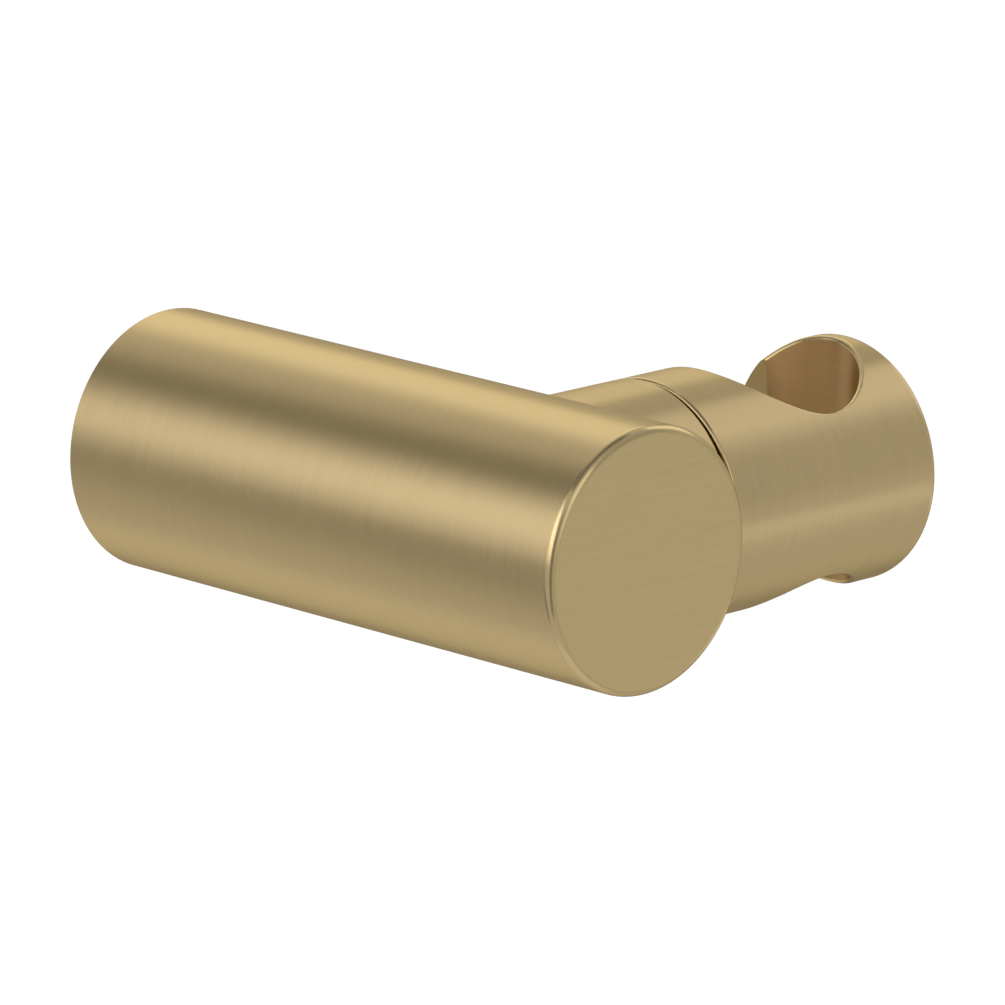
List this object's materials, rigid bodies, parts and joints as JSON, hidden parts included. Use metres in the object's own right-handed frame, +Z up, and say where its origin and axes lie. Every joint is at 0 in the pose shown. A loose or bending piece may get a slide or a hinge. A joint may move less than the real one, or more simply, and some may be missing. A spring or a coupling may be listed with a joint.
{
  "type": "hand shower holder",
  "caption": "Wall holder for a hand shower: a round body over a wall boss, and a short arm whose open tapered cradle swivels about the arm with friction.",
  "frame": {"origin": "centre of the wall face, on the round body's axis", "axes": "+Y into the wall, so the body stands out along -Y; +X along the arm; +Z up, towards the wide end of the cradle"},
  "size_m": [0.0697, 0.082, 0.032],
  "materials": {
    "brushed_gold": "brushed, gold plated",
    "turned_brass": "turned, bare",
    "stainless_steel": "plain",
    "black_rubber": "matt",
    "acetal": "moulded"
  },
  "bodies": {
    "wall_side": {"body": "brushed_gold", "arm_stub": "brushed_gold", "hub_screw": "stainless_steel", "spigot_ring": "black_rubber", "wall_boss": "turned_brass", "boss_ring_rear": "black_rubber", "boss_ring_front": "black_rubber", "clamp_screw": "stainless_steel", "pivot_bush": "acetal", "thrust_ring": "acetal", "seal_ring": "black_rubber", "friction_washer": "acetal"},
    "swivel_head": {"holder": "brushed_gold", "pivot_bolt": "stainless_steel", "head_washer": "stainless_steel", "disc_spring_1": "stainless_steel", "disc_spring_2": "stainless_steel", "disc_spring_3": "stainless_steel", "disc_spring_4": "stainless_steel", "pressure_washer": "stainless_steel"}
  },
  "joints": [
    {"name": "holder_swivel", "type": "hinge", "parent": "wall_side", "child": "swivel_head", "pos_m": [0.0193, -0.0623, 0], "axis": [1, 0, 0], "continuous": true}
  ]
}
